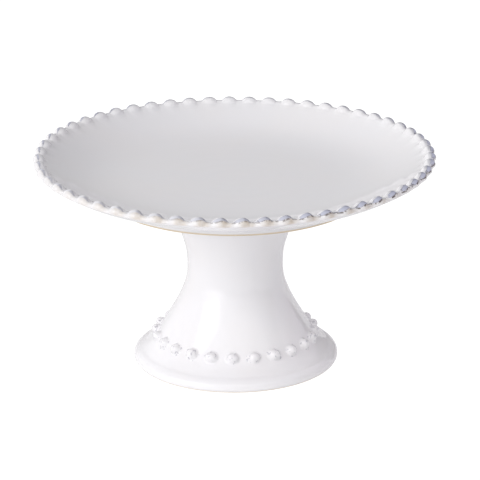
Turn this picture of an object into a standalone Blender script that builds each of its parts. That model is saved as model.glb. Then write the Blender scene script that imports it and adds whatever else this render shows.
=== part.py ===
"""Footed cake stand: a pearl-rimmed stoneware plate fixed to a hollow trumpet pedestal.

Origin: centre of the foot's contact face, on the table. +Z is up. Outlines are (radius, height)
pairs in millimetres, turned about Z.
"""
import math

import bmesh
import bpy
from mathutils import Vector

MM = 0.001
GAP = 0.3               # clearance left between pieces that touch

# Plate
RIM_PEARLS = 57
RIM_PEARL_CENTRE = (135.75, 147.4)
RIM_PEARL_RADIUS = 4.25
RIM_PEARL_HALF_WIDTH = 5.4      # along the rim; the pearls are a little wider than high
RIM_START_DEG = 4.7             # direction of the first rim pearl, from +X
FILLET = 1.0                    # softness of the glaze where a pearl leaves the rim
# The jiggered underside is plain: it cuts every pearl off along one cone.
CONE_EDGE = (140.0, 146.7)
CONE_SLOPE = 0.583
# The rim's lip between pearls: (angle, distance) from the pearl centre, from the underside
# round the outer edge and the top to the dish.
LIP = ((-119, 5.3), (-45, 3.2), (-28, 3.2), (-12, 3.1), (5, 2.75), (28, 2.2), (55, 1.5),
       (85, 1.15), (118, 1.2), (150, 1.6), (176, 2.75))
# Dish side, from the rim to the flat well; a pearl's tail lifts the first ring.
DISH_FINE = (128.8, 145.65)
TAIL = 0.35
DISH = ((123.0, 143.0), (115.5, 139.9), (106.0, 136.7), (95.0, 134.2), (81.0, 132.5),
        (66.0, 131.9))
UNDERSIDE = ((128.0, 139.8), (120.0, 136.1), (111.0, 133.1), (101.0, 130.2), (94.2, 127.2),
             (91.5, 125.4), (91.0, 122.6), (90.0, 121.6), (86.5, 121.6), (85.7, 122.6),
             (84.5, 125.4))
# The firing bent the plate: its rim rises and falls by WARP as a saddle whose high sides lie this
# way and opposite, one side is lifted a little, and inside WARP_START the plate stayed flat.
WARP = 1.05
WARP_DIRECTION_DEG = -10
LIFT = 0.45
LIFT_DIRECTION_DEG = 121
WARP_START = 90.0

# Pedestal
PEDESTAL_SEGMENTS = 56
WALL = 5.6
FOOT_EDGE = ((64.6, 0.0), (69.6, 0.0), (71.1, 0.8), (72.0, 2.9), (71.3, 5.8), (68.7, 8.1))
TRUMPET = ((64.6, 10.2), (58.3, 15.8), (51.6, 25.5), (44.0, 38.0), (38.0, 50.0), (34.0, 63.0),
           (34.1, 80.0), (38.0, 95.0), (42.5, 108.0), (48.3, 123.1))
TRUMPET_STEPS = 2

# Ring of slip that bonds the pedestal's mouth to the plate
SLIP_SEGMENTS = 48
SLIP = ((43.4, 123.4), (47.9, 123.4), (48.6, 124.1), (50.2, 125.1), (41.6, 125.1), (42.9, 124.2))

# Pearls sprigged round the foot
FOOT_PEARLS = 24
FOOT_PEARL_RADIUS = 4.5
FOOT_PEARL_SINK = 0.5   # how far the ball's centre lies below the foot's surface
FOOT_PEARL_HEIGHT = 19.4
FOOT_PEARL_SIDES = 12
FOOT_PEARL_RINGS = 3

GLAZE = (0.86, 0.855, 0.865, 1.0)
SLIP_COLOUR = (0.80, 0.76, 0.70, 1.0)


def rim_directions():
    """Directions of the rim pearls in radians: evenly dealt, then set a little off by hand."""
    directions = []
    for index in range(RIM_PEARLS):
        even = math.radians(RIM_START_DEG) + math.tau * index / RIM_PEARLS
        slow = 1.9 * math.sin(even - math.radians(159))
        quick = 0.9 * math.sin(2 * even - math.radians(11))
        directions.append(even + math.radians(slow + quick))
    return directions


def foot_directions():
    """Directions of the foot pearls in radians, set a little off by hand."""
    directions = []
    for index in range(FOOT_PEARLS):
        even = math.tau * index / FOOT_PEARLS
        slow = 1.3 * math.sin(even + math.radians(172))
        quick = 1.3 * math.sin(2 * even + math.radians(154))
        directions.append(even + math.radians(slow + quick - 3.2))
    return directions


def spline(points, steps):
    """A smooth curve through the points, with the given number of steps in each span."""
    ends = [tuple(2 * a - b for a, b in zip(points[0], points[1]))]
    ends.extend(points)
    ends.append(tuple(2 * a - b for a, b in zip(points[-1], points[-2])))
    curve = []
    for p, q, r, s in zip(ends, ends[1:], ends[2:], ends[3:]):
        for step in range(steps):
            t = step / steps
            curve.append(tuple(
                0.5 * (2 * b + (c - a) * t + (2 * a - 5 * b + 4 * c - d) * t * t
                       + (3 * b - 3 * c + d - a) * t ** 3)
                for a, b, c, d in zip(p, q, r, s)))
    curve.append(points[-1])
    return curve


def normals(points):
    """Unit normals of an outline that runs up its outer side, pointing away from the axis."""
    found = []
    for index in range(len(points)):
        before = points[max(index - 1, 0)]
        after = points[min(index + 1, len(points) - 1)]
        run, rise = after[0] - before[0], after[1] - before[1]
        length = math.hypot(run, rise)
        found.append((rise / length, -run / length))
    return found


def offset(points, distance):
    """The outline moved along its normals."""
    return [(r + distance * nr, z + distance * nz)
            for (r, z), (nr, nz) in zip(points, normals(points))]


def at(radius, height, direction):
    return Vector((radius * math.cos(direction), radius * math.sin(direction), height)) * MM


def stitch(bm, ring, finer):
    """Faces between two closed rings, where the finer has a whole multiple of the vertices."""
    ratio = len(finer) // len(ring)
    for index, vertex in enumerate(ring):
        following = ring[(index + 1) % len(ring)]
        span = [finer[(index * ratio + step) % len(finer)] for step in range(ratio + 1)]
        if ratio == 1:
            bm.faces.new((vertex, span[0], span[1], following))
            continue
        half = (ratio + 1) // 2
        for step in range(ratio):
            apex = vertex if step < half else following
            bm.faces.new((apex, span[step], span[step + 1]))
        bm.faces.new((vertex, span[half], following))


def bridge(bm, rings):
    for first, second in zip(rings, rings[1:]):
        if len(first) <= len(second):
            stitch(bm, first, second)
        else:
            stitch(bm, second, first)


def close(bm, ring, centre):
    hub = bm.verts.new(centre)
    for vertex, following in zip(ring, ring[1:] + ring[:1]):
        bm.faces.new((hub, vertex, following))


def finish(bm, name, material, sharp_deg=40):
    """Turns the bmesh into a named object with its faces pointing out."""
    bmesh.ops.recalc_face_normals(bm, faces=bm.faces)
    mesh = bpy.data.meshes.new(name)
    bm.to_mesh(mesh)
    bm.free()
    mesh.shade_smooth()
    mesh.set_sharp_from_angle(angle=math.radians(sharp_deg))
    mesh.materials.append(material)
    piece = bpy.data.objects.new(name, mesh)
    bpy.context.scene.collection.objects.link(piece)
    return piece


def principled(name, colour, roughness):
    material = bpy.data.materials.new(name)
    material.use_nodes = True
    shader = material.node_tree.nodes["Principled BSDF"]
    shader.inputs["Base Color"].default_value = colour
    shader.inputs["Roughness"].default_value = roughness
    shader.inputs["Metallic"].default_value = 0.0
    material.diffuse_color = colour
    return material


def rim_stations():
    """(direction, distance from the nearest pearl) round the rim: six to each pearl."""
    directions = rim_directions()
    shoulder = 0.45 * RIM_PEARL_HALF_WIDTH / RIM_PEARL_CENTRE[0]
    edge = 0.86 * RIM_PEARL_HALF_WIDTH / RIM_PEARL_CENTRE[0]
    stations = []
    for index, direction in enumerate(directions):
        following = directions[(index + 1) % RIM_PEARLS]
        valley = ((following - direction) % math.tau) / 2
        for turn in (0.0, shoulder, edge, valley):
            stations.append((direction + turn, turn * RIM_PEARL_CENTRE[0]))
        for turn in (edge, shoulder):
            stations.append((direction + 2 * valley - turn, turn * RIM_PEARL_CENTRE[0]))
    return stations


def reach(angle, lip, distance):
    """How far the rim's section reaches from the pearl centre, in one direction.

    It is the lip, or the pearl where that stands out further, down to the underside's cone.
    """
    share = min(distance / RIM_PEARL_HALF_WIDTH, 1.0)
    pearl = RIM_PEARL_RADIUS * math.sqrt(1.0 - share ** 2)
    size = 0.5 * (lip + pearl + math.hypot(lip - pearl, FILLET))
    drop = CONE_SLOPE * math.cos(angle) - math.sin(angle)
    if drop <= 0:
        return size
    depth = RIM_PEARL_CENTRE[1] - CONE_EDGE[1]
    inset = CONE_EDGE[0] - RIM_PEARL_CENTRE[0]
    return min(size, (depth + CONE_SLOPE * inset) / drop)


def tail(distance):
    """Share of a pearl's tail left at this distance to its side, from 1 on it to 0."""
    return 0.5 + 0.5 * math.cos(math.pi * min(distance / RIM_PEARL_HALF_WIDTH, 1.0))


def warp(radius, direction):
    """How far the firing lifted the plate here."""
    share = max(radius - WARP_START, 0.0) / (RIM_PEARL_CENTRE[0] - WARP_START)
    saddle = WARP * math.cos(2 * (direction - math.radians(WARP_DIRECTION_DEG)))
    lift = LIFT * math.cos(direction - math.radians(LIFT_DIRECTION_DEG))
    return share ** 2 * (saddle + lift)


def make_plate(material):
    stations = rim_stations()
    plain = stations[::3]
    bm = bmesh.new()

    def point(radius, height, direction):
        return bm.verts.new(at(radius, height + warp(radius, direction), direction))

    def lip_ring(angle_deg, lip):
        angle = math.radians(angle_deg)
        ring = []
        for direction, distance in stations:
            length = reach(angle, lip, distance)
            radius = RIM_PEARL_CENTRE[0] + length * math.cos(angle)
            height = RIM_PEARL_CENTRE[1] + length * math.sin(angle)
            ring.append(point(radius, height, direction))
        return ring

    def plain_ring(radius, height):
        return [point(radius, height, direction) for direction, _ in plain]

    rings = [plain_ring(*point) for point in reversed(UNDERSIDE)]
    rings.extend(lip_ring(*point) for point in LIP)
    rings.append([point(DISH_FINE[0], DISH_FINE[1] + TAIL * tail(distance), direction)
                  for direction, distance in stations])
    rings.extend(plain_ring(*point) for point in DISH)
    bridge(bm, rings)
    close(bm, rings[0], (0, 0, UNDERSIDE[-1][1] * MM))
    close(bm, rings[-1], (0, 0, DISH[-1][1] * MM))
    return finish(bm, "plate", material)


def turned_ring(name, outline, segments, material, sharp_deg=40):
    """A closed outline turned about Z into a solid ring."""
    bm = bmesh.new()
    rings = []
    for radius, height in outline:
        rings.append([bm.verts.new(at(radius, height, math.tau * step / segments))
                      for step in range(segments)])
    bridge(bm, rings + rings[:1])
    return finish(bm, name, material, sharp_deg)


def make_pedestal(material):
    outside = spline(TRUMPET, TRUMPET_STEPS)
    inside = offset(outside, -WALL)[::TRUMPET_STEPS]
    inside[-1] = (inside[-1][0], TRUMPET[-1][1])
    outline = list(FOOT_EDGE) + outside + inside[::-1]
    return turned_ring("pedestal", outline, PEDESTAL_SEGMENTS, material)


def make_foot_pearl(number, direction, material):
    """A ball pressed on the foot: its seat follows the foot's surface, GAP above it."""
    surface = spline(TRUMPET, 24)
    facing = normals(surface)
    seat = min(range(len(surface)), key=lambda i: abs(surface[i][1] - FOOT_PEARL_HEIGHT))
    seat_radius, seat_height = surface[seat]
    out, up = facing[seat]
    normal = Vector((out * math.cos(direction), out * math.sin(direction), up))
    sideways = Vector((-math.sin(direction), math.cos(direction), 0))
    upward = normal.cross(sideways)
    if upward.z < 0:
        upward = -upward
    centre = at(seat_radius, seat_height, direction) - normal * FOOT_PEARL_SINK * MM
    foot = math.sqrt(FOOT_PEARL_RADIUS ** 2 - (FOOT_PEARL_SINK + GAP) ** 2)

    def on_seat(side, along):
        height = seat_height + along * out
        index = min(range(len(surface)), key=lambda i: abs(surface[i][1] - height))
        radius, height = surface[index]
        turn = direction + side / radius
        lean = facing[index]
        return at(radius + GAP * lean[0], height + GAP * lean[1], turn)

    bm = bmesh.new()
    rings = []
    base_tilt = math.asin((FOOT_PEARL_SINK + GAP) / FOOT_PEARL_RADIUS)
    for ring in range(FOOT_PEARL_RINGS):
        tilt = base_tilt + (math.pi / 2 - base_tilt) * ring / FOOT_PEARL_RINGS
        vertices = []
        for side in range(FOOT_PEARL_SIDES):
            angle = math.tau * side / FOOT_PEARL_SIDES
            if ring == 0:
                place = on_seat(foot * math.cos(angle), foot * math.sin(angle))
            else:
                across = sideways * math.cos(angle) + upward * math.sin(angle)
                place = centre + (across * math.cos(tilt) + normal * math.sin(tilt)) \
                    * FOOT_PEARL_RADIUS * MM
            vertices.append(bm.verts.new(place))
        rings.append(vertices)
    bridge(bm, rings)
    close(bm, rings[-1], centre + normal * FOOT_PEARL_RADIUS * MM)
    close(bm, rings[0], on_seat(0, 0))
    return finish(bm, f"foot_pearl_{number:02d}", material)


def main():
    for item in list(bpy.data.objects):
        bpy.data.objects.remove(item, do_unlink=True)
    make_plate(principled("plate_glaze", GLAZE, 0.12))
    make_pedestal(principled("pedestal_glaze", GLAZE, 0.12))
    turned_ring("slip_joint", SLIP, SLIP_SEGMENTS, principled("slip", SLIP_COLOUR, 0.5))
    pearl_glaze = principled("pearl_glaze", GLAZE, 0.12)
    for number, direction in enumerate(foot_directions(), start=1):
        make_foot_pearl(number, direction, pearl_glaze)


main()
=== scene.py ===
import math

import bpy
import numpy as np
from mathutils import Matrix, Vector


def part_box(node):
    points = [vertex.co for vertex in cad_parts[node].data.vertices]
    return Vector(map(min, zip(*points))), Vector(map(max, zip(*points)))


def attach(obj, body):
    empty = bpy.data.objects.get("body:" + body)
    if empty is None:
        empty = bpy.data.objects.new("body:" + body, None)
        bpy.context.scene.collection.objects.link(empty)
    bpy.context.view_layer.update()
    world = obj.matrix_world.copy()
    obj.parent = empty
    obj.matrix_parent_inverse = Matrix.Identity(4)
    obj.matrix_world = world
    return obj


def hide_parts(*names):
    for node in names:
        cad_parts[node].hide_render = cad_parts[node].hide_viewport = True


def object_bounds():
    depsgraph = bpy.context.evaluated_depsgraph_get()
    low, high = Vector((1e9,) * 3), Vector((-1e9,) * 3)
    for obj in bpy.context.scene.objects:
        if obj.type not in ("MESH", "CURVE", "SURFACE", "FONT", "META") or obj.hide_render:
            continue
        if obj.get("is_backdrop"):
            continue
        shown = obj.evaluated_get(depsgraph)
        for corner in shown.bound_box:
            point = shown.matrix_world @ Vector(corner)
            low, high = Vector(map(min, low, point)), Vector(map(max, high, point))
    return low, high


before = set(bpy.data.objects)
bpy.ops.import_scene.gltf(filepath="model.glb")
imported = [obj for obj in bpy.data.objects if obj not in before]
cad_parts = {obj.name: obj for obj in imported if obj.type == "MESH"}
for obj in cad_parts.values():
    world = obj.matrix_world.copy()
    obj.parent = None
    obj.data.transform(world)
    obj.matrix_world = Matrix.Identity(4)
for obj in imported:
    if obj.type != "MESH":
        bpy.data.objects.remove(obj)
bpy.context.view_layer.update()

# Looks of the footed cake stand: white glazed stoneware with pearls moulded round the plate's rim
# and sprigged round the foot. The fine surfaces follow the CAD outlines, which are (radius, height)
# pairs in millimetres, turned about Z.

MM = 0.001

# The plate, as in the CAD source
RIM_PEARLS = 57
RIM_PEARL_CENTRE = (135.75, 147.4)
RIM_PEARL_RADIUS = 4.25
RIM_PEARL_HALF_WIDTH = 5.4
RIM_START_DEG = 4.7
CONE_EDGE = (140.0, 146.7)
CONE_SLOPE = 0.583
LIP = ((-119, 5.3), (-45, 3.2), (-28, 3.2), (-12, 3.1), (5, 2.75), (28, 2.2), (55, 1.5),
       (85, 1.15), (118, 1.2), (150, 1.6), (176, 2.75))
DISH = ((128.8, 145.65), (123.0, 143.0), (115.5, 139.9), (106.0, 136.7), (95.0, 134.2),
        (81.0, 132.5), (66.0, 131.9))
UNDERSIDE = ((128.0, 139.8), (120.0, 136.1), (111.0, 133.1), (101.0, 130.2), (94.2, 127.2),
             (91.5, 125.4), (91.0, 122.6), (90.0, 121.6), (86.5, 121.6), (85.7, 122.6),
             (84.5, 125.4))
WARP = 1.05
WARP_DIRECTION_DEG = -10
LIFT = 0.45
LIFT_DIRECTION_DEG = 121
WARP_START = 90.0

# The pedestal and its slip joint, as in the CAD source
WALL = 5.6
FOOT_INNER_EDGE = (64.6, 0.0)
FOOT_EDGE = ((69.6, 0.0), (71.1, 0.8), (72.0, 2.9), (71.3, 5.8), (68.7, 8.1))
TRUMPET = ((64.6, 10.2), (58.3, 15.8), (51.6, 25.5), (44.0, 38.0), (38.0, 50.0), (34.0, 63.0),
           (34.1, 80.0), (38.0, 95.0), (42.5, 108.0), (48.3, 123.1))
SLIP = ((43.4, 123.4), (47.9, 123.4), (48.6, 124.1), (50.2, 125.1), (41.6, 125.1), (42.9, 124.2))

# How finely the surfaces are drawn
UNDERSIDE_INNER_RADII = (10.0, 40.0, 76.0)
WELL_RADII = (48.0, 30.0, 12.0)
STEPS_PER_PEARL = 24
LIP_STEPS = 4
DISH_STEPS = 3
UNDERSIDE_STEPS = 3
PEDESTAL_SEGMENTS = 384
PROFILE_STEPS = 6
SLIP_STEPS = 4
FOOT_PEARL_SIDES = 48
FOOT_PEARL_STEPS = 2
SEAT_STEPS = 24             # along the pedestal's outline, to seat the foot pearls

# How a glazed rim pearl differs from the plain CAD one, in millimetres
RIM_FILLET = 1.2            # softness where a rim pearl leaves the lip
RIM_INNER_FILLET = 2.2      # the same on the side of the dish
INNER_SHRINK = 0.15         # share by which a pearl reaches less far on that side
GLAZE_INSET = 0.08          # keeps the filleted surface inside the CAD one
EDGE_ROUNDING = 0.45        # the glaze rounds the edge over the plain underside
PEARL_VARIATION = 0.05      # share by which a pearl may be smaller or narrower
SETTLE = 2.2                # how far into the dish the rim's waves fade out
TAIL_HEIGHT = 0.15
TAIL_SPREAD = 2.5

# The wash, by angles on the rim's section: 0 is its outer side and 90 its top
WASH_TOP = (90, 76)         # where it starts and where it is full
WASH_HEM = 40               # where it ends, halfway between the left and the right of the stand
WASH_HEM_SWING = 16         # how much higher the hem lies at the left and lower at the right; the wider wash on the right is partly painted shade on the pearls turned away from the light
WASH_HEM_SOFTNESS = 12
WASH_SLANT = 11             # how much higher it sits on a pearl's anticlockwise flank
WASH_WEAKEST_DEG = -130     # where round the rim the wash is thinnest, from +X: partly thin brushing, partly painted light on the side the key light falls on
WASH_LOSS = 0.85            # how much of it is missing there
WASH_LOSS_SPREAD_DEG = 45   # how far round the rim the loss reaches, to either side

# Where the bare clay gives way to glaze
BARE_RING = (123.0, 123.4)  # heights between which the glaze on the plate's foot ring starts
BARE_FOOT = (0.7, 1.3)      # the same at the pedestal's foot

# The slip as squeezed out: its size against the CAD ring, and how unevenly it came out
SLIP_SHRINK = 0.97
SLIP_WOBBLE = 0.05

# A foot pearl as (distance from its middle, height over the foot), in millimetres
FOOT_PEARL = ((0.0, 4.05), (1.3, 3.86), (2.5, 3.22), (3.4, 2.25), (3.95, 1.4), (4.35, 0.75),
              (4.8, 0.3), (5.4, 0.06), (6.0, -0.06))
FOOT_PEARL_OVAL = 0.88      # size up the slope over size across it
FOOT_PEARL_MIDDLE = 1.9     # height over the foot of the middle of the CAD pearl's box
FOOT_PEARL_ROOT = 0.5       # how deep its closed underside lies in the foot

# Colours of the glaze, the wash on the rim, the painted shade on the rim, the bare clay and the
# slip
WHITE_COOL = (0.86, 0.85, 0.874, 1)
WHITE_WARM = (0.866, 0.85, 0.868, 1)
BLUE_GREY = (0.47, 0.49, 0.63, 1)
DARK_GREY = (0.20, 0.19, 0.23, 1)
# painted shade for the rim pearls' shaded sides
PAINTED_SHADE_GREY = (0.16, 0.165, 0.23, 1)
BROWN = (0.10, 0.075, 0.07, 1)
CREAM_THIN_GLAZE_AND_SHADE = (0.68, 0.60, 0.52, 1)
CLAY_DARK = (0.66, 0.53, 0.37, 1)
CLAY_LIGHT = (0.74, 0.62, 0.46, 1)
SPECK = (0.20, 0.15, 0.11, 1)
# grey blotches on the foot pearls: partly wear, partly painted reflection
BLOTCH_WEAR_AND_REFLECTION = (0.40, 0.39, 0.45, 1)
SLIP_DARK = (0.72, 0.62, 0.48, 1)
SLIP_LIGHT = (0.84, 0.78, 0.68, 1)
GLAZE_IOR = 1.52

# Camera, light and table
CAMERA_DISTANCE = 2.2
CAMERA_ELEVATION_DEG = 21.603
CAMERA_PITCH_DEG = 19.467
CAMERA_YAW_DEG = 0.0975
CAMERA_ROLL_DEG = -0.38
CAMERA_LENS = 231.94
CAMERA_SENSOR = 36
# Soft lobes of light in the room: azimuth and elevation in degrees, strength. Azimuth 0 is the
# front and 90 the right.
LOBES = (
    (315, 8, 2.30),             # low and bright from the front left
    (270, 8, 0.82),
    (225, 8, 0.85),
    (180, 8, 0.46),
    (0, 8, 0.10),
    (135, 8, 0.06),
    (0, 38, 1.20),
    (45, 38, 1.02),
    (315, 38, 0.70),
    (225, 38, 0.89),
    (180, 65, 0.62),
)
LOBE_SHARPNESS = 10.0
AMBIENT = (0.022, 0.022, 0.023)
SOFTBOX_TARGET = Vector((0, 0, 0.06))
# Area lights: name, azimuth and elevation in degrees, distance, width and height in metres, glow
# and colour
SOFTBOXES = (
    ("window", 307, 26.5, 2.0, 1.18, 0.74, 1.4, (1, 1, 1)),
    ("right_board", 108, 26, 1.2, 1.05, 1.2, 0.52, (1.0, 0.92, 1.06)),
)
FLOOR_HALF_SIZE = 8.0
FLOOR_GLOW = 0.164
FLOOR_ALBEDO = 0.85
BACKDROP = (1, 1, 1, 1)
SEEN_GLOW = 1.1             # the camera sees the floor as one even white

rng = np.random.default_rng(57)


# ---------------------------------------------------------------- outlines

def spline(points, steps, ends=None):
    """A smooth curve through the points, with the given number of steps in each span."""
    p = np.array(points, float)
    first, last = ends or (2 * p[0] - p[1], 2 * p[-1] - p[-2])
    p = np.vstack((first, p, last))
    t = (np.arange(steps) / steps)[:, None]
    spans = []
    for a, b, c, d in zip(p, p[1:], p[2:], p[3:]):
        spans.append(0.5 * (2 * b + (c - a) * t + (2 * a - 5 * b + 4 * c - d) * t ** 2
                            + (3 * b - 3 * c + d - a) * t ** 3))
    return np.vstack(spans + [p[-2][None]])


def facing(outline):
    """Unit normals of an outline that runs up its outer side, pointing away from the axis."""
    slope = np.gradient(outline, axis=0)
    slope /= np.linalg.norm(slope, axis=1)[:, None]
    return np.stack((slope[:, 1], -slope[:, 0]), axis=1)


def turned(radius, height, directions):
    """Points at this radius and height in each direction; radius and height may vary."""
    points = np.empty((len(directions), 3))
    points[:, 0] = radius * np.cos(directions)
    points[:, 1] = radius * np.sin(directions)
    points[:, 2] = height
    return points


def smooth_step(low, high, value):
    t = np.clip((value - low) / (high - low), 0.0, 1.0)
    return t * t * (3 - 2 * t)


# ---------------------------------------------------------------- meshes

def ring_faces(first, n_first, second, n_second):
    """Faces between two rings of vertices, where one may have twice as many as the other."""
    if n_first == n_second:
        return [(first + k, first + (k + 1) % n_first, second + (k + 1) % n_second, second + k)
                for k in range(n_first)]
    if n_first < n_second:
        return [face[::-1] for face in ring_faces(second, n_second, first, n_first)]
    faces = []
    for k in range(n_second):
        a, b, c = (first + (2 * k + step) % n_first for step in range(3))
        d, e = second + k, second + (k + 1) % n_second
        faces.append((a, b, d))
        faces.append((b, c, e, d))
    return faces


def surface(name, rings, masks=None, looped=False, hubs=()):
    """A closed mesh from rings of points in millimetres.

    hubs are the points that close the first and the last ring; a looped surface joins the two.
    masks gives, by name, one array for each ring, kept as vertex attributes for the material.
    """
    sizes = [len(ring) for ring in rings]
    starts = np.concatenate(([0], np.cumsum(sizes)))
    faces = []
    for k in range(len(rings) - 1):
        faces += ring_faces(int(starts[k]), sizes[k], int(starts[k + 1]), sizes[k + 1])
    if looped:
        faces += ring_faces(int(starts[-2]), sizes[-1], 0, sizes[0])
    points = np.vstack([*rings, *(np.array(hub, float)[None] for hub in hubs)])
    if hubs:
        low, high = int(starts[-1]), int(starts[-1]) + 1
        faces += [((k + 1) % sizes[0], k, low) for k in range(sizes[0])]
        last = int(starts[-2])
        faces += [(last + k, last + (k + 1) % sizes[-1], high) for k in range(sizes[-1])]
    mesh = bpy.data.meshes.new(name)
    mesh.from_pydata((points * MM).tolist(), [], faces)
    for mask, values in (masks or {}).items():
        layer = mesh.attributes.new(mask, "FLOAT", "POINT")
        flat = np.concatenate([*values, np.zeros(len(hubs))])
        layer.data.foreach_set("value", flat.astype(np.float32))
    if signed_volume(points, faces) < 0:
        mesh.flip_normals()
    mesh.shade_smooth()
    return mesh


def signed_volume(points, faces):
    """Positive where the faces point out."""
    total = 0.0
    for size in (3, 4):
        group = np.array([face for face in faces if len(face) == size], int)
        for step in range(1, size - 1):
            if len(group):
                a, b, c = (points[group[:, k]] for k in (0, step, step + 1))
                total += np.einsum("ij,ij->", a, np.cross(b, c))
    return total


def piece(name, mesh, material, replaces):
    """A shown object that stands for a CAD node and rides on the part's one body."""
    mesh.materials.append(material)
    made = bpy.data.objects.new(name, mesh)
    bpy.context.scene.collection.objects.link(made)
    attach(made, "root")
    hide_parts(replaces)


# ---------------------------------------------------------------- plate

def rim_directions():
    """Directions of the rim pearls in radians, as in the CAD source."""
    even = math.radians(RIM_START_DEG) + math.tau * np.arange(RIM_PEARLS) / RIM_PEARLS
    slow = 1.9 * np.sin(even - math.radians(159))
    quick = 0.9 * np.sin(2 * even - math.radians(11))
    return even + np.radians(slow + quick)


def rim_stations():
    """Round the rim: direction, distance to the nearest pearl, that pearl's size, and the flank:
    1 on a pearl's anticlockwise side and -1 on the other.
    """
    pearls = rim_directions()
    gaps = (np.roll(pearls, -1) - pearls) % math.tau
    share = np.arange(STEPS_PER_PEARL) / STEPS_PER_PEARL
    directions = (pearls[:, None] + gaps[:, None] * share).ravel()
    distances = (gaps[:, None] * np.minimum(share, 1 - share)).ravel() * RIM_PEARL_CENTRE[0]
    sizes = 1 - PEARL_VARIATION * rng.random(RIM_PEARLS)
    widths = 1 - PEARL_VARIATION * rng.random(RIM_PEARLS)
    owner = (np.arange(RIM_PEARLS)[:, None] + (share > 0.5)).ravel() % RIM_PEARLS
    flank = np.tile(np.sin(math.tau * share), RIM_PEARLS)
    return directions, distances / widths[owner], sizes[owner], flank


def rim_reach(angle, lip, distance, size):
    """How far the rim's section reaches from the pearl centre."""
    share = np.minimum(distance / RIM_PEARL_HALF_WIDTH, 1.0)
    inward = smooth_step(math.radians(95), math.radians(176), angle)
    pearl = RIM_PEARL_RADIUS * size * np.sqrt(1 - share ** 2) * (1 - INNER_SHRINK * inward)
    fillet = RIM_FILLET + (RIM_INNER_FILLET - RIM_FILLET) * inward
    reach = 0.5 * (lip + pearl + np.hypot(lip - pearl, fillet)) - GLAZE_INSET
    drop = CONE_SLOPE * math.cos(angle) - math.sin(angle)
    if drop > 0:
        depth = RIM_PEARL_CENTRE[1] - CONE_EDGE[1]
        inset = CONE_EDGE[0] - RIM_PEARL_CENTRE[0]
        cone = (depth + CONE_SLOPE * inset) / drop
        reach = 0.5 * (reach + cone - np.hypot(reach - cone, EDGE_ROUNDING))
    return reach


def warp(radius, directions):
    """How far the firing lifted the plate, as in the CAD source."""
    share = np.maximum(radius - WARP_START, 0.0) / (RIM_PEARL_CENTRE[0] - WARP_START)
    saddle = WARP * np.cos(2 * (directions - math.radians(WARP_DIRECTION_DEG)))
    lift = LIFT * np.cos(directions - math.radians(LIFT_DIRECTION_DEG))
    return share ** 2 * (saddle + lift)


def turned_to(directions, degrees):
    """1 where the rim faces this direction, 0 on the opposite side."""
    return 0.5 + 0.5 * np.cos(directions - math.radians(degrees))


def rim_masks(angle_deg, directions, crown, flank):
    """How strongly each finish shows along one ring of the rim.

    The angle runs round the rim's section: 0 is its outer side, 90 its top and 180 the dish's side.
    crown is 1 on the middle of a pearl and 0 between pearls; flank is as in rim_stations.
    """
    # The wash thins towards the front left: partly thin brushing, partly painted light that leaves
    # the pearls lit from that side whiter.
    away = np.abs((directions - math.radians(WASH_WEAKEST_DEG) + math.pi) % math.tau - math.pi)
    brush_and_light = 1 - WASH_LOSS * np.exp(-(away / math.radians(WASH_LOSS_SPREAD_DEG)) ** 2)

    # The wash reaches from its hem to the top.
    # The hem lies lower on the right, away from the light: the extra wash there is partly painted
    # shade.
    hem = WASH_HEM - WASH_HEM_SWING * np.cos(directions + math.radians(5))
    level = angle_deg - WASH_SLANT * flank
    above_hem = smooth_step(hem, hem + WASH_HEM_SOFTNESS, level)
    wash = smooth_step(*WASH_TOP, level) * above_hem

    # Below the hem the glaze is thin and creamy, mostly at the front and on anticlockwise flanks;
    # the extra cream on those flanks, the shaded side of the front pearls, is painted shade.
    creamy = turned_to(directions, -85) ** 4
    below_hem = smooth_step(hem + WASH_HEM_SOFTNESS, hem, level)
    thin_glaze_and_shade = below_hem * smooth_step(-50, 0, angle_deg)

    # Along the top, painted shade: a dark blue-grey on anticlockwise flanks at the front and right,
    # and over the whole pearl at the back, standing in for the shaded sides of the pearls.
    front = np.maximum(turned_to(directions, -20),
                       0.55 * smooth_step(-0.2, 0.4, -np.sin(directions)))
    back = 0.05 + 0.9 * turned_to(directions, 60)
    painted_shade_weight = np.maximum(smooth_step(0.2, 0.8, flank) * front, back * (0.3 + 0.7 * crown))
    painted_shade = smooth_step(56, 74, angle_deg) * smooth_step(122, 92, angle_deg)

    # Brown specks sit on the hem, mostly at the front right.
    specked = brush_and_light * turned_to(directions, -45)
    speck = smooth_step(hem - 14, hem - 2, level) * smooth_step(hem + 14, hem + 4, level)
    return {"wash": wash * (0.35 + 0.65 * crown), "brush_and_light": brush_and_light,
            "thin_glaze_and_shade": thin_glaze_and_shade * creamy * (0.55 + 0.45 * flank), "painted_shade": painted_shade * painted_shade_weight,
            "speck": speck * specked}


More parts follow.
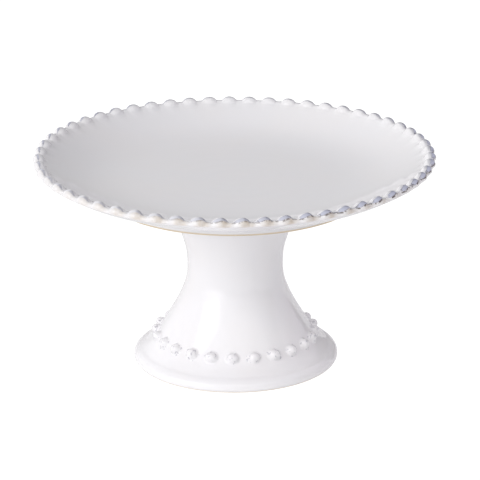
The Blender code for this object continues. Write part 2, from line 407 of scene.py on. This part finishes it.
def plate_mesh():
    directions, distances, sizes, flank = rim_stations()
    plain = directions[::2]
    coarse = directions[::4]
    share = np.minimum(distances / RIM_PEARL_HALF_WIDTH, 1)
    crown = 1 - share ** 2
    bell = 0.5 + 0.5 * np.cos(math.pi * share)
    rings = []
    masks = {"wash": [], "brush_and_light": [], "thin_glaze_and_shade": [], "painted_shade": [], "speck": [], "bare": []}

    def add(radius, height, around, **painted):
        rings.append(turned(radius, height + warp(radius, around), around))
        for mask, values in masks.items():
            values.append(np.broadcast_to(painted.get(mask, 0.0), len(around)))

    for radius in UNDERSIDE_INNER_RADII:
        add(radius, UNDERSIDE[-1][1], coarse)
    for radius, height in spline(UNDERSIDE[::-1], UNDERSIDE_STEPS):
        add(radius, height, plain, bare=1 - smooth_step(*BARE_RING, height))

    for angle_deg, lip in spline(LIP, LIP_STEPS):
        angle = math.radians(angle_deg)
        reach = rim_reach(angle, lip, distances, sizes)
        rim_radius = RIM_PEARL_CENTRE[0] + reach * math.cos(angle)
        rim_height = RIM_PEARL_CENTRE[1] + reach * math.sin(angle)
        add(rim_radius, rim_height, directions, **rim_masks(angle_deg, directions, crown, flank))

    # The dish takes up the rim's last ring, waves and all, and smooths it out on the way in.
    end_deg, end_lip = LIP[-1]
    end = math.radians(end_deg)
    base = np.array(RIM_PEARL_CENTRE) + end_lip * np.array((math.cos(end), math.sin(end)))
    for radius, height in spline(np.vstack((base, DISH)), DISH_STEPS)[1:]:
        if radius > DISH[1][0]:
            settle = math.exp(-((base[0] - radius) / SETTLE) ** 2)
            tail = TAIL_HEIGHT * math.exp(-((radius - DISH[0][0]) / TAIL_SPREAD) ** 2)
            add(radius + settle * (rim_radius - base[0]),
                height + settle * (rim_height - base[1]) + tail * bell, directions)
        else:
            add(radius, height, plain)
    for radius in WELL_RADII:
        add(radius, DISH[-1][1], coarse)
    hubs = ((0, 0, UNDERSIDE[-1][1]), (0, 0, DISH[-1][1]))
    return surface("plate", rings, masks, hubs=hubs)


# ---------------------------------------------------------------- pedestal

def pedestal_outline():
    """The closed outline of the hollow trumpet, from the foot's inner edge up and back down."""
    outside = spline(FOOT_EDGE + TRUMPET, PROFILE_STEPS)
    trumpet = spline(TRUMPET, PROFILE_STEPS)
    inside = trumpet - WALL * facing(trumpet)
    inside[-1, 1] = TRUMPET[-1][1]
    return np.vstack((FOOT_INNER_EDGE, outside, inside[::-1]))


def pedestal_mesh():
    directions = np.linspace(0, math.tau, PEDESTAL_SEGMENTS, endpoint=False)
    outline = pedestal_outline()
    rings = [turned(radius, height, directions) for radius, height in outline]
    bare = [np.full(PEDESTAL_SEGMENTS, 1 - smooth_step(*BARE_FOOT, height))
            for _, height in outline]
    return surface("pedestal", rings, {"bare": bare}, looped=True)


def slip_mesh():
    """The ring of slip, squeezed out a little unevenly."""
    directions = np.linspace(0, math.tau, PEDESTAL_SEGMENTS, endpoint=False)
    outline = np.array(SLIP)
    corners = np.vstack((outline, outline[:1]))
    section = spline(corners, SLIP_STEPS, ends=(outline[-1], outline[1]))[:-1]
    middle = outline.mean(axis=0)
    uneven = np.sin(5 * directions + 1.3) * np.sin(11 * directions)
    wobble = 1 - SLIP_WOBBLE * (1 + uneven) / 2
    rings = [turned(middle[0] + (radius - middle[0]) * SLIP_SHRINK * wobble,
                    middle[1] + (height - middle[1]) * SLIP_SHRINK, directions)
             for radius, height in section]
    return surface("slip_joint", rings, looped=True)


def foot_pearl_mesh(name, centre):
    """A ball of clay pressed on the foot, its skirt of glaze flowing into the pedestal.

    It is drawn on the pedestal's own surface; centre is the middle of the CAD pearl's box.
    """
    path = spline(TRUMPET, SEAT_STEPS)
    run = np.concatenate(([0], np.cumsum(np.linalg.norm(np.diff(path, axis=0), axis=1))))
    normal = facing(path)
    direction = math.atan2(centre.y, centre.x)
    middle = np.array((math.hypot(centre.x, centre.y), centre.z)) / MM
    misses = np.linalg.norm(path + FOOT_PEARL_MIDDLE * normal - middle, axis=1)
    seat = run[np.argmin(misses)]
    around = np.linspace(0, math.tau, FOOT_PEARL_SIDES, endpoint=False)
    width, height = 1 + rng.uniform(-0.03, 0.05), 1 + rng.uniform(-0.06, 0.04)
    squash, turn = rng.uniform(0, 0.04), rng.uniform(0, math.pi)
    rings = []
    for reach, rise in spline(FOOT_PEARL, FOOT_PEARL_STEPS)[1:]:
        spread = reach * width * (1 + squash * np.cos(2 * (around - turn)))
        along = seat + FOOT_PEARL_OVAL * spread * np.sin(around)
        radius = np.interp(along, run, path[:, 0])
        lift = rise * height if rise > 0 else rise
        out = np.interp(along, run, normal[:, 0]) * lift
        up = np.interp(along, run, normal[:, 1]) * lift
        bearing = direction + spread * np.cos(around) / radius
        rings.append(turned(radius + out, np.interp(along, run, path[:, 1]) + up, bearing))
    place = np.array([np.interp(seat, run, path[:, k]) for k in (0, 1)])
    lean = np.array([np.interp(seat, run, normal[:, k]) for k in (0, 1)])
    top = place + lean * FOOT_PEARL[0][1] * height
    root = place - lean * FOOT_PEARL_ROOT
    hubs = [turned(*point, [direction])[0] for point in (top, root)]
    return surface(name, rings, hubs=hubs)


# ---------------------------------------------------------------- materials

class Nodes:
    """A node tree, built one named step at a time."""

    def __init__(self, tree):
        self.tree = tree

    def node(self, kind, inputs=None, **settings):
        made = self.tree.nodes.new("ShaderNode" + kind)
        for name, value in settings.items():
            setattr(made, name, value)
        for socket, value in (inputs or {}).items():
            self.set(made, socket, value)
        return made

    def set(self, node, socket, value):
        if isinstance(value, bpy.types.NodeSocket):
            self.tree.links.new(value, node.inputs[socket])
        else:
            node.inputs[socket].default_value = value

    def math(self, operation, a, b=0.0, c=0.0):
        return self.node("Math", {0: a, 1: b, 2: c}, operation=operation).outputs[0]

    def vector_math(self, operation, inputs):
        return self.node("VectorMath", inputs, operation=operation)

    def mix(self, factor, a, b):
        made = self.node("Mix", data_type="RGBA")
        for socket, value in ((0, factor), (6, a), (7, b)):
            self.set(made, socket, value)
        return made.outputs[2]


class Shader(Nodes):
    """A material and the patterns that it is made from, in the object's own space."""

    def __init__(self, name):
        self.material = bpy.data.materials.new(name)
        self.material.use_nodes = True
        super().__init__(self.material.node_tree)
        self.body = self.tree.nodes["Principled BSDF"]

    def place(self):
        return self.node("TexCoord").outputs["Object"]

    def noise(self, size_mm, detail=2.0):
        """Noise from 0 to 1 whose features are about this large."""
        scale = 1 / (size_mm * MM)
        moved = self.vector_math("MULTIPLY", {0: self.place(), 1: (scale, scale, scale)})
        made = self.node("TexNoise", {"Vector": moved.outputs[0], "Scale": 1.0, "Detail": detail})
        return made.outputs["Fac"]

    def window(self, value, low, high, to_low=0.0, to_high=1.0):
        """Maps value smoothly from low..high to the given range."""
        made = self.node("MapRange", {"Value": value, "From Min": low, "From Max": high,
                                      "To Min": to_low, "To Max": to_high},
                         interpolation_type="SMOOTHSTEP")
        return made.outputs[0]

    def mask(self, name):
        return self.node("Attribute", attribute_name=name).outputs["Fac"]

    def specks(self, spacing_mm, size_mm, kept):
        """Rare round specks: 1 on a speck. kept is the share of the cells that hold one."""
        cells = self.node("TexVoronoi", {"Vector": self.place(), "Scale": 1 / (spacing_mm * MM)})
        near = self.window(cells.outputs["Distance"], 0.5 * size_mm / spacing_mm,
                           0.2 * size_mm / spacing_mm)
        chosen = self.node("SeparateColor", {0: cells.outputs["Color"]}).outputs[0]
        return self.math("MULTIPLY", near, self.math("LESS_THAN", chosen, kept))


def rim_finish(s, colour):
    """The rim's cream, blue-grey wash, dark line, painted shade and specks over the white."""
    wash = s.math("ADD", s.window(s.noise(1.1, 3), 0.3, 0.7, -0.2, 0.2), s.mask("wash"))
    brush_and_light = s.mask("brush_and_light")
    # Cream: thin glaze, with painted shade on the front pearls' shaded flanks.
    cream = s.math("MULTIPLY", s.mask("thin_glaze_and_shade"), s.window(s.noise(3.0), 0.3, 0.6, 0.6, 1.0))
    colour = s.mix(cream, colour, CREAM_THIN_GLAZE_AND_SHADE)
    body = s.window(wash, 0.2, 0.7, 0.0, 0.85)
    colour = s.mix(s.math("MULTIPLY", body, brush_and_light), colour, BLUE_GREY)
    line = s.math("MULTIPLY", s.window(wash, 0.2, 0.4), s.window(wash, 0.75, 0.5))
    line = s.math("MULTIPLY", line, s.window(s.noise(4.0), 0.4, 0.6, 0.2, 0.9))
    colour = s.mix(s.math("MULTIPLY", line, brush_and_light), colour, DARK_GREY)
    # Painted shade: a dark blue-grey over the pearls' shaded sides.
    painted_shade = s.math("MULTIPLY", s.mask("painted_shade"), s.window(s.noise(2.5), 0.3, 0.6, 0.5, 0.85))
    colour = s.mix(painted_shade, colour, PAINTED_SHADE_GREY)
    speck = s.math("MULTIPLY", s.mask("speck"), s.window(s.noise(2.2), 0.44, 0.54))
    return s.mix(speck, colour, BROWN)


def throwing_rings(s):
    """Faint turning marks in the middle of the dish, as a height."""
    across = s.vector_math("MULTIPLY", {0: s.place(), 1: (1, 1, 0)}).outputs[0]
    radius = s.vector_math("LENGTH", {0: across}).outputs["Value"]
    wave = s.math("SINE", s.math("MULTIPLY", radius, math.tau / (13 * MM)))
    inner = s.window(radius, 0.085, 0.055)
    return s.math("MULTIPLY", wave, s.math("MULTIPLY", inner, 0.006 * MM))


def glaze(name, rings=False, rim=False, wear_and_reflection_blotches=False):
    """White stoneware glaze, faintly mottled, with rare iron specks and pits, bare where wiped.

    rings adds turning marks, rim the painted finish of the rim, and the third flag grey blotches:
    partly wear, partly painted reflection of the plate's dark underside.
    """
    s = Shader(name)
    bare = s.mask("bare")
    colour = s.mix(s.window(s.noise(45), 0.35, 0.65), WHITE_COOL, WHITE_WARM)
    if rim:
        colour = rim_finish(s, colour)
    if wear_and_reflection_blotches:
        # Grey blotches: partly wear, partly painted reflection of the plate's dark underside.
        wear_and_reflection = s.math("MULTIPLY", s.window(s.noise(2.6), 0.58, 0.66), 0.6)
        colour = s.mix(wear_and_reflection, colour, BLOTCH_WEAR_AND_REFLECTION)
    colour = s.mix(s.specks(14, 0.5, 0.10), colour, SPECK)
    clay = s.mix(s.noise(0.8, 3), CLAY_DARK, CLAY_LIGHT)
    s.set(s.body, "Base Color", s.mix(bare, colour, clay))

    roughness = s.window(s.noise(9, 3), 0.3, 0.7, 0.015, 0.045)
    roughness = s.math("MAXIMUM", roughness, s.math("MULTIPLY", bare, 0.85))
    s.set(s.body, "Roughness", roughness)
    s.set(s.body, "IOR", GLAZE_IOR)

    waves = s.math("MULTIPLY", s.noise(22, 1), 0.05 * MM)
    peel = s.math("MULTIPLY", s.noise(2.2), 0.002 * MM)
    pits = s.math("MULTIPLY", s.specks(9, 0.7, 0.12), -0.08 * MM)
    height = s.math("ADD", waves, peel)
    if rings:
        height = s.math("ADD", height, throwing_rings(s))
    height = s.math("ADD", height, pits)
    bump = s.node("Bump", {"Height": height, "Strength": 1.0, "Distance": 1.0})
    s.set(s.body, "Normal", bump.outputs[0])
    return s.material


def slip_material():
    """Fired slip: matt, grainy and a little darker than the glaze."""
    s = Shader("fired_slip")
    grain = s.noise(0.7, 4)
    s.set(s.body, "Base Color", s.mix(grain, SLIP_DARK, SLIP_LIGHT))
    s.set(s.body, "Roughness", s.window(grain, 0.2, 0.8, 0.55, 0.8))
    bump = s.node("Bump", {"Height": s.math("MULTIPLY", grain, 0.15 * MM), "Distance": 1.0})
    s.set(s.body, "Normal", bump.outputs[0])
    return s.material


# ---------------------------------------------------------------- studio

def camera():
    lens = bpy.data.cameras.new("camera")
    lens.lens = CAMERA_LENS
    lens.sensor_width = CAMERA_SENSOR
    rise, pitch, yaw = (math.radians(angle) for angle in
                        (CAMERA_ELEVATION_DEG, CAMERA_PITCH_DEG, CAMERA_YAW_DEG))
    place = Vector((0, -math.cos(rise), math.sin(rise))) * CAMERA_DISTANCE
    forward = Vector((math.sin(yaw) * math.cos(pitch), math.cos(yaw) * math.cos(pitch),
                      -math.sin(pitch)))
    right = forward.cross(Vector((0, 0, 1))).normalized()
    right.rotate(Matrix.Rotation(-math.radians(CAMERA_ROLL_DEG), 3, forward))
    up = right.cross(forward)
    made = bpy.data.objects.new("camera", lens)
    matrix = Matrix((right, up, -forward)).transposed().to_4x4()
    matrix.translation = place
    made.matrix_world = matrix
    bpy.context.scene.collection.objects.link(made)
    bpy.context.scene.camera = made


def towards(azimuth, elevation):
    """Unit vector; azimuth 0 is the front and 90 the right."""
    a, e = math.radians(azimuth), math.radians(elevation)
    return Vector((math.sin(a) * math.cos(e), -math.cos(a) * math.cos(e), math.sin(e)))


def room():
    """The light of the room: a dim even part and soft lobes. The camera sees plain white."""
    world = bpy.data.worlds.new("room")
    bpy.context.scene.world = world
    world.use_nodes = True
    w = Nodes(world.node_tree)
    view = w.node("TexCoord").outputs["Generated"]
    total = AMBIENT
    for azimuth, elevation, strength in LOBES:
        dot = w.vector_math("DOT_PRODUCT", {0: view, 1: towards(azimuth, elevation)})
        fall = w.math("MULTIPLY_ADD", dot.outputs["Value"], LOBE_SHARPNESS, -LOBE_SHARPNESS)
        power = w.math("EXPONENT", fall)
        lobe = w.vector_math("SCALE", {0: (strength, strength, strength), "Scale": power})
        total = w.vector_math("ADD", {0: lobe.outputs[0], 1: total}).outputs[0]
    seen = w.node("LightPath").outputs["Is Camera Ray"]
    w.set(w.tree.nodes["Background"], "Color", w.mix(seen, total, BACKDROP))


def softbox(name, azimuth, elevation, distance, width, height, glow, colour):
    """A rectangle of light aimed at the stand. The camera doesn't see it."""
    light = bpy.data.lights.new(name, "AREA")
    light.shape = "RECTANGLE"
    light.size = width
    light.size_y = height
    light.energy = glow * math.pi * width * height
    light.color = colour
    made = bpy.data.objects.new(name, light)
    made.location = SOFTBOX_TARGET + distance * towards(azimuth, elevation)
    made.rotation_euler = towards(azimuth, elevation).to_track_quat("Z", "Y").to_euler()
    made.visible_camera = False
    bpy.context.scene.collection.objects.link(made)


def floor():
    """A pale glowing table, seen from above only."""
    half = FLOOR_HALF_SIZE
    corners = [(-half, -half, 0), (half, -half, 0), (half, half, 0), (-half, half, 0)]
    mesh = bpy.data.meshes.new("floor")
    mesh.from_pydata(corners, [], [(0, 1, 2, 3)])
    s = Shader("floor")
    seen = s.node("LightPath").outputs["Is Camera Ray"]
    grey = (FLOOR_ALBEDO, FLOOR_ALBEDO, FLOOR_ALBEDO, 1)
    s.set(s.body, "Base Color", s.mix(seen, grey, (0, 0, 0, 1)))
    s.set(s.body, "Roughness", 1.0)
    s.set(s.body, "Specular IOR Level", 0.0)
    s.set(s.body, "Emission Color", (1, 1, 1, 1))
    glow = s.math("MULTIPLY_ADD", seen, SEEN_GLOW - FLOOR_GLOW, FLOOR_GLOW)
    s.set(s.body, "Emission Strength", glow)
    behind = s.node("NewGeometry").outputs["Backfacing"]
    s.set(s.body, "Alpha", s.math("SUBTRACT", 1.0, behind))
    mesh.materials.append(s.material)
    made = bpy.data.objects.new("floor", mesh)
    bpy.context.scene.collection.objects.link(made)
    made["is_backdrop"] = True


# ---------------------------------------------------------------- assembly

piece("glazed_plate", plate_mesh(), glaze("plate_glaze_look", rings=True, rim=True),
      "plate")
piece("glazed_pedestal", pedestal_mesh(), glaze("pedestal_glaze_look"),
      "pedestal")
piece("fired_slip_joint", slip_mesh(), slip_material(), "slip_joint")
pearl_glaze = glaze("pearl_glaze_look", wear_and_reflection_blotches=True)
for node in sorted(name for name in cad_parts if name.startswith("foot_pearl_")):
    low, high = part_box(node)
    piece("glazed_" + node, foot_pearl_mesh(node, (low + high) / 2), pearl_glaze,
          node)

camera()
room()
floor()
for softbox_settings in SOFTBOXES:
    softbox(*softbox_settings)
bpy.context.scene.view_settings.view_transform = "Standard"

low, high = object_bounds()
